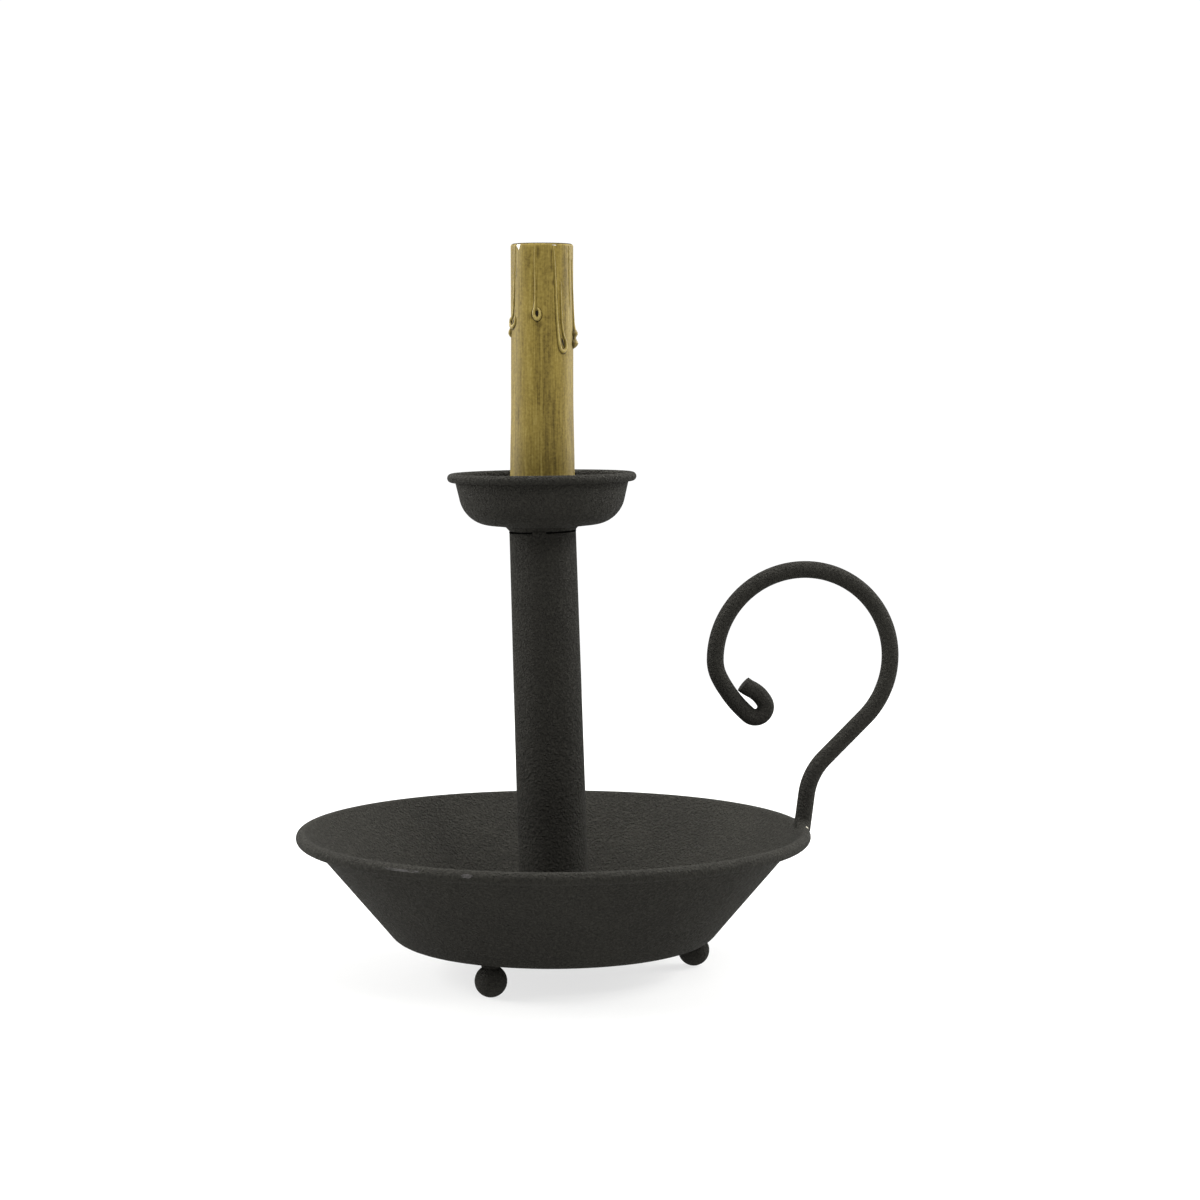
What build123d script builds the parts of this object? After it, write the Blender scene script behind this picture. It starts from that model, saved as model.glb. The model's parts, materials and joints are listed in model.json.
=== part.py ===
from build123d import *
import os
from math import cos, radians, sin

# Chamberstick with a finger loop, made up as an electric candle lamp.
# Millimetres and degrees. The origin is on the table under the middle of the pan, +Z is up and
# +X runs out through the finger loop. The pan stands level. The tube leans a little to -X. The cup
# is welded on it nearer to level, and the socket strap is bent so that the candle stands plumb.

# Shared by several pieces
overrun = 2.0                    # a cutter runs this far past the face that it opens
thread_gap = 0.1                 # radial room between a threaded tube and what is screwed on it
hole_gap = 0.2                   # radial room round a screw, rivet or tube in a plain hole

# Ball feet
foot_count = 3
foot_diameter = 11.7
foot_inset = 1.9                 # from the edge of the pan's flat base to the middle of a foot
foot_weld_diameter = 5.0

# Drip pan
pan_diameter = 191.0             # over the rolled rim
pan_base_diameter = 109.2        # flat part of the underside
pan_wall_angle = 49.9            # from level
pan_corner_radius = 8.0          # outside, between base and wall
pan_sheet = 0.8
pan_roll = 4.6                   # diameter of the rolled rim
roll_turn = 300.0                # how far a rim is rolled round

# Cord grommet in the middle of the pan
grommet_waist = 11.0
grommet_flange = 16.0
grommet_lip = 1.8                # thickness of each flange
cord_hole = 6.4

# Tapered tube
stem_foot_diameter = 26.2
stem_top_diameter = 24.6
stem_wall = 1.2
stem_length = 151.15
stem_lean = 1.72
stem_set_over = 0.6              # its foot stands this far from the pan's middle, towards the loop
stem_weld = 2.4                  # leg of the fillet weld round its foot
seam_chamfer = 0.4               # both edges of the seam under the cup

# Plug between tube and cup
plug_neck = 1.8                  # height that shows between the tube and the cup
plug_flare = 1.2                 # it widens by this much on the radius under the cup
plug_flare_height = 1.3
plug_spigot = 10.0               # length inside the tube
plug_gap = 0.1                   # radial room of the spigot in the tube
tack_count = 3
tack_bearing = 252.5             # where the first tack weld starts
tack_pools = 3                   # weld pools that run into one another
tack_pitch = 7.0                 # degrees between them
tack_radius = 1.25

# Drip cup
cup_lean = 0.66
cup_diameter = 69.7              # over the rolled rim
cup_height = 19.85               # from its underside to the top of the rim
cup_corner_radius = 12.0         # outside, between floor and wall
cup_wall_angle = 76.8
cup_floor_angle = 6.0
cup_sheet = 0.8
cup_roll = 3.3
cup_seat_bend = 6.0              # bend where the flat seat turns into the sloping floor
cup_seat_margin = 1.2            # flat seat beyond the sleeve

# Hollow nipple and what is screwed on it
nipple_diameter = 9.8
nipple_bore = 6.6
nipple_grip = 8.0                # length screwed into the plug
nipple_stand = 3.0               # thread left over above the strap
washer_thickness = 1.0
washer_room = 1.3                # radial room between the washer and the sleeve
nut_across_flats = 14.0
locknut_thickness = 3.2

# Candelabra lamp socket
socket_diameter = 18.2
socket_height = 28.0
socket_web = 8.0                 # solid lower part that takes rivets and screws
socket_flat = 1.5                # depth of the flats for strap and terminals
shell_bore = 11.9
shell_sheet = 0.4
shell_gap = 0.3                  # radial room of the screw shell in the body
shell_set_back = 1.0             # from the body's top to the shell's
shell_lift = 4.5                 # room under the shell for the centre contact
tab_width = 3.4
contact_width = 4.0
contact_rise = 30.0              # slope of the contact's spring
contact_slope = 3.2              # length of that slope
contact_bend = 0.9
contact_tip = 1.6
terminal_sheet = 0.8
terminal_width = 5.0
terminal_rise = 7.0
rivet_diameter = 2.0
rivet_head = 3.4
rivet_head_thickness = 0.7
rivet_circle = 7.2               # across the two terminal rivets
screw_diameter = 2.4
screw_head = 4.4
screw_head_thickness = 1.1
screw_length = 3.0

# Strap that carries the socket
strap_sheet = 1.2
strap_width = 8.0
strap_eye = 14.4                 # round end that is tapped and screwed on the nipple
strap_bend = 1.6                 # inside radius
strap_rivet_length = 3.0
strap_rivet_pitch = 3.8

# Candle sleeve
sleeve_length = 102.4
sleeve_wall = 1.15
sleeve_room = 1.2                # radial room over the socket body
sleeve_flare = 0.42              # it widens by this much on the radius towards its foot
sleeve_flare_shares = (0.20, 0.46)      # of its length: full width up to the first, slim from the second
sleeve_lip = 1.0                 # rounding of the open top
sleeve_seat_gap = 0.1
socket_set_back = 4.0            # from the sleeve's top to the socket's

# Wax drips moulded on the sleeve
drip_radius = 1.55               # of a full-size drop
drip_proud = 0.95                # how far a full-size drop stands out
drip_run_shares = (0.75, 0.55)   # radius of the run above the drop, at the drop and at the top
# Each drip: place round the sleeve, height of its drop, size of its drop
drip_shares = [
    (0.512, 0.675, 0.80), (0.561, 0.704, 0.75), (0.706, 0.745, 1.00), (0.851, 0.628, 1.00),
    (0.950, 0.676, 0.70), (0.973, 0.643, 0.90), (0.075, 0.760, 0.80), (0.185, 0.640, 1.00),
    (0.300, 0.720, 0.85), (0.405, 0.610, 0.95),
]

# Finger loop, bent from rod. Bends are radii of its middle line, from the foot to the scroll.
rod_diameter = 6.35
loop_set_out = 0.35              # foot's middle outside the middle of the rolled rim
loop_foot_angle = 82.8
loop_foot_run = 13.5
loop_knee_radius = 23.3
loop_knee_turn = 37.8
loop_slant_run = 21.5
loop_outer_radius = 32.7
loop_inner_radius = 33.5
loop_shoulder_radius = 14.7
loop_shoulder_turn = 27.0
loop_tail_radius = 47.0
loop_tail_turn = 22.0
scroll_radius = 3.9
scroll_turn = 160.0
scroll_curl_radius = 11.7
scroll_curl_turn = 35.0
scroll_flick_radius = 14.0       # the sheared end turns out again
scroll_flick_turn = 14.0

# Levels and places that follow from the sizes
foot_circle = pan_base_diameter - 2 * foot_inset
pan_underside = foot_diameter
pan_floor = pan_underside + pan_sheet
pan_hole = grommet_waist + 2 * thread_gap
cup_underside = stem_length + plug_neck              # along the leaning axis, from the pan's floor
cup_floor = cup_underside + cup_sheet
washer_top = cup_floor + washer_thickness
locknut_top = washer_top + locknut_thickness
strap_top = locknut_top + strap_sheet
nipple_top = strap_top + nipple_stand
sleeve_bore = socket_diameter + 2 * sleeve_room
sleeve_radius = sleeve_bore / 2 + sleeve_wall        # at the slim upper part
sleeve_foot_radius = sleeve_radius + sleeve_flare
sleeve_foot = sleeve_foot_radius * sin(radians(cup_lean)) + sleeve_seat_gap
socket_top = sleeve_foot + sleeve_length - socket_set_back
socket_foot = socket_top - socket_height
web_top = socket_foot + socket_web
flat_face = socket_diameter / 2 - socket_flat        # from the socket's axis
shell_radius = shell_bore / 2 + shell_sheet


def leaning(shape):
    """Places a shape drawn about the tube's own axis, with the pan's floor at its zero."""
    return Location((stem_set_over, 0, pan_floor), (0, -stem_lean, 0)) * shape


def cup_spot(height):
    """Point on the cup's axis, which turns off from the tube's at the cup's underside."""
    tube, cup = radians(stem_lean), radians(cup_lean)
    seat = Vector(stem_set_over, 0, pan_floor) + Vector(-sin(tube), 0, cos(tube)) * cup_underside
    return seat + Vector(-sin(cup), 0, cos(cup)) * (height - cup_underside)


def seated(shape):
    """Places a shape drawn about the cup's own axis, at the same heights as on the tube."""
    return Location(tuple(cup_spot(0)), (0, -cup_lean, 0)) * shape


def plumb(shape):
    """Places a shape drawn about the candle's upright axis, with the cup's floor at its zero."""
    return Pos(*cup_spot(cup_floor)) * shape


def run(length):
    return length, 0


def bend(radius, turn):
    return radius * radians(abs(turn)), turn


def ahead(spot, heading, length, turn):
    """Where a line in the XZ plane is after going a length while it turns steadily."""
    start, finish = radians(heading), radians(heading + turn)
    if turn == 0:
        return spot + Vector(cos(start), 0, sin(start)) * length
    swing = Vector(sin(finish) - sin(start), 0, cos(start) - cos(finish))
    return spot + swing * (length / radians(turn))


def aside(spot, heading, offset):
    """Point to the left of a line at a spot."""
    return spot + Vector(-sin(radians(heading)), 0, cos(radians(heading))) * offset


def chain(spot, heading, steps, offset=0):
    """Edges of a line of runs and bends in the XZ plane, moved to its left by the offset."""
    edges = []
    for length, turn in steps:
        middle = ahead(spot, heading, length / 2, turn / 2)
        finish = ahead(spot, heading, length, turn)
        start_point = aside(spot, heading, offset)
        middle_point = aside(middle, heading + turn / 2, offset)
        finish_point = aside(finish, heading + turn, offset)
        if turn:
            edges.append(ThreePointArc(start_point, middle_point, finish_point))
        else:
            edges.append(Line(start_point, finish_point))
        spot, heading = finish, heading + turn
    return edges


def sheet_face(spot, heading, steps, sheet):
    """Section of a bent sheet whose middle line is the chain."""
    left = chain(spot, heading, steps, sheet / 2)
    right = chain(spot, heading, steps, -sheet / 2)
    ends = [Line(left[0] @ 0, right[0] @ 0), Line(left[-1] @ 1, right[-1] @ 1)]
    return make_face(left + right + ends)


def outline_face(*points):
    """Face in the XZ plane with straight sides."""
    corners = [Vector(across, 0, up) for across, up in points]
    return make_face(Polyline(*corners, close=True).edges())


def upright(radius, low, high):
    """Cylinder about Z between two levels."""
    return Pos(0, 0, low) * Cylinder(radius, high - low, align=(Align.CENTER, Align.CENTER, Align.MIN))


def radial(radius, near, far, level):
    """Cylinder along +X between two distances from the axis."""
    bar = Cylinder(radius, far - near, align=(Align.CENTER, Align.CENTER, Align.MIN))
    return Pos(near, 0, level) * Rot(0, 90, 0) * bar


def slab(width, depth, low, high):
    """Block centred on Z between two levels."""
    block = Box(width, depth, high - low, align=(Align.CENTER, Align.CENTER, Align.MIN))
    return Pos(0, 0, low) * block


def pan_rim():
    """Middle of the pan's rolled rim: radius and height. The rim rolls on from the wall's slope."""
    wall = radians(pan_wall_angle)
    corner = pan_corner_radius - pan_sheet / 2
    roll = pan_roll / 2 - pan_sheet / 2
    radius = pan_diameter / 2 - pan_roll / 2
    wall_start = pan_base_diameter / 2 + corner * sin(wall)
    wall_run = (radius - roll * sin(wall) - wall_start) / cos(wall)
    wall_foot = pan_underside + pan_sheet / 2 + corner * (1 - cos(wall))
    return radius, wall_foot + wall_run * sin(wall) - roll * cos(wall), wall_run


def drip_pan():
    start = Vector(pan_hole / 2, 0, pan_underside + pan_sheet / 2)
    steps = [
        run(pan_base_diameter / 2 - pan_hole / 2),
        bend(pan_corner_radius - pan_sheet / 2, pan_wall_angle),
        run(pan_rim()[2]),
        bend(pan_roll / 2 - pan_sheet / 2, -roll_turn),
    ]
    return revolve(sheet_face(start, 0, steps, pan_sheet), Axis.Z)


def ball_foot(bearing):
    ball = Pos(0, 0, foot_diameter / 2) * Sphere(foot_diameter / 2)
    weld = upright(foot_weld_diameter / 2, foot_diameter / 2, pan_underside)
    return Rot(0, 0, bearing) * Pos(foot_circle / 2, 0, 0) * (ball + weld)


def cord_grommet():
    bore, waist, flange = cord_hole / 2, grommet_waist / 2, grommet_flange / 2
    profile = outline_face(
        (bore, pan_underside - grommet_lip), (flange, pan_underside - grommet_lip),
        (flange, pan_underside), (waist, pan_underside), (waist, pan_floor), (flange, pan_floor),
        (flange, pan_floor + grommet_lip), (bore, pan_floor + grommet_lip),
    )
    return revolve(profile, Axis.Z)


def stem_radius(height):
    taper = (stem_top_diameter - stem_foot_diameter) / 2 / stem_length
    return stem_foot_diameter / 2 + taper * height


def stem_tube():
    low, top = -overrun, stem_length
    shell = outline_face(
        (0, low), (stem_radius(low), low), (stem_radius(top - seam_chamfer), top - seam_chamfer),
        (stem_radius(top) - seam_chamfer, top), (0, top),
    )
    above = top + overrun
    bore = outline_face(
        (0, low), (stem_radius(low) - stem_wall, low), (stem_radius(above) - stem_wall, above), (0, above),
    )
    sunk = stem_wall / 2             # the weld's slope runs on into the wall
    weld = Pos(stem_set_over, 0, pan_floor) * Cone(
        stem_foot_diameter / 2 + stem_weld, stem_foot_diameter / 2 - sunk, stem_weld + sunk,
        align=(Align.CENTER, Align.CENTER, Align.MIN),
    )
    side = stem_foot_diameter + 2 * stem_weld + 2 * overrun
    return (
        leaning(revolve(shell, Axis.Z)) + weld
        - leaning(revolve(bore, Axis.Z))
        - slab(side, side, pan_floor - 2 * overrun, pan_floor)
    )


def tack_weld():
    """Row of weld pools along the seam, from bearing zero."""
    pool = Pos(stem_top_diameter / 2 - tack_radius / 2, 0, stem_length) * Sphere(tack_radius)
    bead = pool
    for number in range(1, tack_pools):
        bead += Rot(0, 0, number * tack_pitch) * pool
    return bead


def neck_plug():
    bore = nipple_diameter / 2 + thread_gap
    spigot = stem_radius(stem_length) - stem_wall - plug_gap
    collar = stem_top_diameter / 2
    foot, seam, top = stem_length - plug_spigot, stem_length, cup_underside
    above = top + overrun            # the cup's tilted seat is cut off this
    brim = collar + plug_flare + overrun * plug_flare / plug_flare_height
    plug = revolve(outline_face(
        (0, foot), (spigot, foot), (spigot, seam), (collar - seam_chamfer, seam),
        (collar, seam + seam_chamfer), (collar, top - plug_flare_height), (brim, above), (0, above),
    ), Axis.Z)
    for number in range(tack_count):
        plug += Rot(0, 0, tack_bearing + number * 360 / tack_count) * tack_weld()
    tube_end = revolve(outline_face(
        (spigot, foot), (stem_radius(foot), foot), (stem_radius(seam - seam_chamfer), seam - seam_chamfer),
        (collar - seam_chamfer, seam), (spigot, seam),
    ), Axis.Z)
    seat = slab(cup_diameter, cup_diameter, top, top + cup_height)
    return leaning(plug - tube_end) - seated(seat) - seated(upright(bore, foot - overrun, above))


def drip_cup():
    floor, wall = radians(cup_floor_angle), radians(cup_wall_angle)
    corner = cup_corner_radius - cup_sheet / 2
    roll = cup_roll / 2 - cup_sheet / 2
    hole = nipple_diameter / 2 + hole_gap
    seat = sleeve_foot_radius + cup_seat_margin
    # What the sloping floor and the wall have to cover between them
    across = cup_diameter / 2 - cup_roll / 2 - roll * sin(wall) - seat
    across -= cup_seat_bend * sin(floor) + corner * (sin(wall) - sin(floor))
    up = cup_height - cup_sheet / 2 - cup_roll / 2 + roll * cos(wall)
    up -= cup_seat_bend * (1 - cos(floor)) + corner * (cos(floor) - cos(wall))
    floor_run = (across * sin(wall) - up * cos(wall)) / sin(wall - floor)
    wall_run = (up * cos(floor) - across * sin(floor)) / sin(wall - floor)
    steps = [
        run(seat - hole),
        bend(cup_seat_bend, cup_floor_angle),
        run(floor_run),
        bend(corner, cup_wall_angle - cup_floor_angle),
        run(wall_run),
        bend(roll, -roll_turn),
    ]
    start = Vector(hole, 0, cup_underside + cup_sheet / 2)
    return seated(revolve(sheet_face(start, 0, steps, cup_sheet), Axis.Z))


def lamp_nipple():
    foot = cup_underside - nipple_grip
    bore = upright(nipple_bore / 2, foot - overrun, nipple_top + overrun)
    return seated(upright(nipple_diameter / 2, foot, nipple_top) - bore)


def ring(outside, low, high, room):
    """Flat ring round the nipple."""
    hole = upright(nipple_diameter / 2 + room, low - overrun, high + overrun)
    return seated(outside - hole)


def cup_washer():
    disc = upright(sleeve_bore / 2 - washer_room, cup_floor, washer_top)
    return ring(disc, cup_floor, washer_top, hole_gap)


def cup_locknut():
    plan = RegularPolygon(nut_across_flats / 2, 6, major_radius=False)
    block = Pos(0, 0, washer_top) * extrude(plan, locknut_thickness)
    return ring(block, washer_top, locknut_top, thread_gap)


def socket_bracket():
    """Strap bent up from a foot that lies square to the nipple into an upright leg."""
    lean = radians(cup_lean)
    foot_middle = cup_spot(locknut_top + strap_sheet / 2)
    leg = cup_spot(cup_floor).X + flat_face + strap_sheet / 2
    curve = strap_bend + strap_sheet / 2
    to_bend = (leg - curve * (1 - sin(lean)) - foot_middle.X) / cos(lean)
    bend_foot = ahead(foot_middle, cup_lean, to_bend, 0)
    leg_foot = bend_foot.Z + curve * cos(lean)
    leg_top = cup_spot(cup_floor).Z + web_top
    steps = [run(to_bend), bend(curve, 90 - cup_lean), run(leg_top - leg_foot)]
    strap = extrude(sheet_face(foot_middle, cup_lean, steps, strap_sheet), strap_width / 2, both=True)
    strap += seated(upright(strap_eye / 2, locknut_top, strap_top))
    strap -= seated(upright(nipple_diameter / 2 + thread_gap, locknut_top - overrun, strap_top + overrun))
    near, far = flat_face - overrun, flat_face + strap_sheet + overrun
    for level in strap_rivet_levels():
        strap -= plumb(radial(rivet_diameter / 2 + hole_gap, near, far, level))
    return strap


def strap_rivet_levels():
    middle = socket_foot + socket_web / 2
    return [middle - strap_rivet_pitch / 2, middle + strap_rivet_pitch / 2]


def bracket_rivets():
    outer = flat_face + strap_sheet
    rivets = []
    for level in strap_rivet_levels():
        shank = radial(rivet_diameter / 2, outer - strap_rivet_length, outer, level)
        head = radial(rivet_head / 2, outer, outer + rivet_head_thickness, level)
        rivets.append(plumb(shank + head))
    return Compound(children=rivets)


def terminal_bearings():
    """The shell's terminal is to the front, the centre contact's to the back."""
    return -90, 90


def socket_body():
    body = upright(socket_diameter / 2, socket_foot, socket_top)
    body -= upright(shell_radius + shell_gap, web_top, socket_top + overrun)
    outer = flat_face + socket_diameter
    for bearing in (0, *terminal_bearings()):
        flat = Pos((flat_face + outer) / 2, 0, 0) * slab(
            outer - flat_face, socket_diameter, socket_foot - overrun, web_top + overrun)
        body -= Rot(0, 0, bearing) * flat
    for level in strap_rivet_levels():
        depth = flat_face + strap_sheet - strap_rivet_length - hole_gap
        body -= radial(rivet_diameter / 2 + hole_gap, depth, flat_face + overrun, level)
    for bearing in terminal_bearings():
        rivet = upright(rivet_diameter / 2 + hole_gap, socket_foot - overrun, web_top + overrun)
        depth = flat_face + terminal_sheet - screw_length - hole_gap
        screw = radial(screw_diameter / 2 + hole_gap, depth, flat_face + overrun, screw_level())
        body -= Rot(0, 0, bearing) * (Pos(rivet_circle / 2, 0, 0) * rivet + screw)
    return plumb(body)


def screw_level():
    return socket_foot + socket_web / 2


def screw_shell():
    """Tube for the lamp's cap, carried on one leg that is turned in under it for its rivet."""
    low = web_top + shell_lift
    shell = upright(shell_radius, low, socket_top - shell_set_back)
    shell -= upright(shell_bore / 2, low - overrun, socket_top + overrun)
    inner, outer = rivet_circle / 2 - rivet_head / 2, shell_radius
    tab = Pos((inner + outer) / 2, 0, 0) * slab(outer - inner, tab_width, web_top, web_top + shell_sheet)
    tab -= Pos(rivet_circle / 2, 0, 0) * upright(
        rivet_diameter / 2 + hole_gap, web_top - overrun, web_top + overrun)
    leg = Pos(shell_radius - shell_sheet / 2, 0, 0) * slab(
        shell_sheet, tab_width, web_top, low + shell_sheet)
    return plumb(shell + Rot(0, 0, terminal_bearings()[0]) * (tab + leg))


def centre_contact():
    """Springy leaf that rises from its rivet to the middle of the shell."""
    outer = shell_bore / 2 - shell_gap
    inner = rivet_circle / 2 - rivet_head / 2
    steps = [
        run(outer - inner), bend(contact_bend, -contact_rise), run(contact_slope),
        bend(contact_bend, contact_rise), run(contact_tip),
    ]
    start = Vector(outer, 0, web_top + shell_sheet / 2)
    leaf = extrude(sheet_face(start, 180, steps, shell_sheet), contact_width / 2, both=True)
    leaf -= Pos(rivet_circle / 2, 0, 0) * upright(
        rivet_diameter / 2 + hole_gap, web_top - overrun, web_top + overrun)
    return plumb(Rot(0, 0, terminal_bearings()[1]) * leaf)


def wire_terminal(bearing):
    """Plate under the body, turned up on its flat to carry a terminal screw."""
    inner, outer = rivet_circle / 2 - rivet_head / 2, flat_face + terminal_sheet
    under = Pos((inner + outer) / 2, 0, 0) * slab(
        outer - inner, terminal_width, socket_foot - terminal_sheet, socket_foot)
    rise = Pos((flat_face + outer) / 2, 0, 0) * slab(
        terminal_sheet, terminal_width, socket_foot - terminal_sheet, socket_foot + terminal_rise)
    plate = under + rise
    plate -= Pos(rivet_circle / 2, 0, 0) * upright(
        rivet_diameter / 2 + hole_gap, socket_foot - overrun, socket_foot + overrun)
    plate -= radial(screw_diameter / 2 + hole_gap, flat_face - overrun, outer + overrun, screw_level())
    return plumb(Rot(0, 0, bearing) * plate)


def terminal_rivets():
    low, high = socket_foot - terminal_sheet, web_top + shell_sheet
    rivet = upright(rivet_diameter / 2, low, high)
    rivet += upright(rivet_head / 2, low - rivet_head_thickness, low)
    rivet += upright(rivet_head / 2, high, high + rivet_head_thickness)
    rivet = Pos(rivet_circle / 2, 0, 0) * rivet
    return Compound(children=[plumb(Rot(0, 0, bearing) * rivet) for bearing in terminal_bearings()])


def terminal_screws():
    outer = flat_face + terminal_sheet
    screw = radial(screw_diameter / 2, outer - screw_length, outer, screw_level())
    screw += radial(screw_head / 2, outer, outer + screw_head_thickness, screw_level())
    return Compound(children=[plumb(Rot(0, 0, bearing) * screw) for bearing in terminal_bearings()])


def sleeve_profile(low, high):
    """Outside of the sleeve: widest at its foot, then drawn in to the slim upper part."""
    wide, slim = (low + share * sleeve_length for share in sleeve_flare_shares)
    points = [Vector(sleeve_foot_radius, 0, low), Vector(sleeve_foot_radius, 0, wide)]
    slim_point = Vector(sleeve_radius, 0, slim)
    rim = Vector(sleeve_radius, 0, high - sleeve_lip)
    up = (0, 0, 1)
    return [
        Line(*points), Spline(points[1], slim_point, tangents=[up, up]), Line(slim_point, rim),
        *chain(rim, 90, [bend(sleeve_lip, 90)]),
    ]


def wax_drip(size, drop_level, top):
    """Drop on the sleeve's side with the run that it came down, at bearing zero."""
    radius = drip_radius * size
    proud = drip_proud * size
    middle = sleeve_radius + proud - radius
    drop = Pos(middle, 0, drop_level) * Sphere(radius)
    low_share, high_share = drip_run_shares
    stream = Pos(middle, 0, drop_level) * Cone(
        radius * low_share, radius * high_share, top - drop_level,
        align=(Align.CENTER, Align.CENTER, Align.MIN),
    )
    return drop + stream


def candle_sleeve():
    low, high = sleeve_foot, sleeve_foot + sleeve_length
    outside = sleeve_profile(low, high)
    axis_line = Polyline(outside[-1] @ 1, Vector(0, 0, high), Vector(0, 0, low), outside[0] @ 0)
    sleeve = revolve(make_face([*outside, *axis_line.edges()]), Axis.Z)
    for place, level, size in drip_shares:
        sleeve += Rot(0, 0, 360 * place) * wax_drip(size, low + level * sleeve_length, high - sleeve_lip)
    return plumb(sleeve - upright(sleeve_bore / 2, low - overrun, high + overrun))


def finger_loop():
    """Rod bent into an open ring with a scrolled end, its foot coped to sit astride the rim."""
    rim_radius, rim_level, _ = pan_rim()
    slant = loop_foot_angle - loop_knee_turn
    steps = [
        run(loop_foot_run), bend(loop_knee_radius, -loop_knee_turn), run(loop_slant_run),
        bend(loop_outer_radius, 180 - slant), bend(loop_inner_radius, 90),
        bend(loop_shoulder_radius, loop_shoulder_turn), bend(loop_tail_radius, loop_tail_turn),
        bend(scroll_radius, scroll_turn), bend(scroll_curl_radius, scroll_curl_turn),
        bend(scroll_flick_radius, -scroll_flick_turn),
    ]
    path = Wire(chain(Vector(rim_radius + loop_set_out, 0, rim_level), loop_foot_angle, steps))
    section = Plane(origin=path @ 0, z_dir=path % 0) * Circle(rod_diameter / 2)
    return sweep(section, path) - drip_pan() - roll_core()


def roll_core():
    """Space inside the pan's rolled rim."""
    rim_radius, rim_level, _ = pan_rim()
    return Pos(0, 0, rim_level) * Torus(rim_radius, pan_roll / 2 - pan_sheet / 2)


nodes = {
    "drip_pan": drip_pan(),
    "cord_grommet": cord_grommet(),
    "stem_tube": stem_tube(),
    "neck_plug": neck_plug(),
    "drip_cup": drip_cup(),
    "finger_loop": finger_loop(),
    "lamp_nipple": lamp_nipple(),
    "cup_washer": cup_washer(),
    "cup_locknut": cup_locknut(),
    "socket_bracket": socket_bracket(),
    "bracket_rivets": bracket_rivets(),
    "socket_body": socket_body(),
    "screw_shell": screw_shell(),
    "centre_contact": centre_contact(),
    "shell_terminal": wire_terminal(terminal_bearings()[0]),
    "centre_terminal": wire_terminal(terminal_bearings()[1]),
    "terminal_rivets": terminal_rivets(),
    "terminal_screws": terminal_screws(),
    "candle_sleeve": candle_sleeve(),
}
for number in range(foot_count):
    nodes[f"ball_foot_{number + 1}"] = ball_foot(number * 360 / foot_count)

os.makedirs("parts", exist_ok=True)
for name, shape in nodes.items():
    export_step(shape, f"parts/{name}.step")
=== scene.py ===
import json
import math
import bpy
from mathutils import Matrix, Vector, kdtree, noise


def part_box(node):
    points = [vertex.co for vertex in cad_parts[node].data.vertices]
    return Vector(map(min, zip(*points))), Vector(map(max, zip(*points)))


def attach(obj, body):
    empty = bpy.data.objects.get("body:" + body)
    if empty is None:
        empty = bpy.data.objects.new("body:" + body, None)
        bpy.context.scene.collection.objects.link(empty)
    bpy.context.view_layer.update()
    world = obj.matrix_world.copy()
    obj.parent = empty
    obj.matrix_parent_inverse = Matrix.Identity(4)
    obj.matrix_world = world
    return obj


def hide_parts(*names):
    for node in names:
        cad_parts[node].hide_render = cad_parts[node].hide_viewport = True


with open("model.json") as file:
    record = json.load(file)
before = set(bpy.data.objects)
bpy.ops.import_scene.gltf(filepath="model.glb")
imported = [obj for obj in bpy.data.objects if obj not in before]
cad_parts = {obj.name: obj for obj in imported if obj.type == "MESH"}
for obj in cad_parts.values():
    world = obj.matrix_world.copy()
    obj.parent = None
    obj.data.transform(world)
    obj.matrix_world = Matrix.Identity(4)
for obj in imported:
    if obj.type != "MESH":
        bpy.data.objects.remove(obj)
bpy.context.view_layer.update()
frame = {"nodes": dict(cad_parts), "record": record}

# Chamberstick lamp with a finger loop: black powder coat, and a stained candle sleeve over a lamp socket.
# Sizes are in millimetres and angles in degrees; the studio and the camera's reach are in metres. Bearings
# run anticlockwise from the right, seen from above, and on the candle they run to the right of its front.
MM = 0.001


def corners(node):
    """A CAD node's lowest and highest corners, in millimetres."""
    return [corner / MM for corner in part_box(node)]


# Camera, worked out from the pan's and the cup's rims
camera_place = (-85.0, -1012.6, 220.2)
camera_turn = 5.77               # to the right of straight back
camera_dip = 4.62
camera_lens = 82.7
sensor_width = 36.0
camera_reach = (0.01, 50.0)      # nearest and farthest that it sees

# Studio. The room glows more behind the object than before it: a white back, and a coat that stays black.
glow_before = 0.5
glow_behind = 1.05
glow_blend = 0.35                # half the band between them, where straight back is 1
table_reach = 0.9
table_glow = 0.7                 # light of its own, which thins the shadow under the pan
light_aim = (0.0, 0.0, 0.12)
# Softboxes: name, place, width and watts
softboxes = [
    ("overhead_softbox", (0.0, 0.05, 1.2), 0.7, 25.0),
    ("front_softbox", (0.55, -1.05, 1.15), 0.5, 13.0),
    ("left_softbox", (-1.1, 0.4, 0.55), 0.7, 21.0),
    ("right_softbox", (1.1, 0.4, 0.55), 0.7, 16.5),
]

# Pan and its rolled rim
pan_low, pan_high = corners("drip_pan")
pan_sheet = 0.8
pan_floor = pan_low.z + pan_sheet
rim_roll = 4.6                   # diameter of the roll
rim_radius = pan_high.y - rim_roll / 2        # to the middle of the roll
rim_level = pan_high.z - rim_roll / 2
# Rubbed places on the rim: bearing, angle up the roll, half their length and half their width
rim_scuff_places = [(232.0, 20.0, 7.3, 0.42), (247.2, 17.0, 2.0, 0.7)]
scuff_ragged = 0.45              # unevenness of their edges, as a share
scuff_waves = 2.0                # waves of that across half of one
scuff_proud = 0.03

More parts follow.
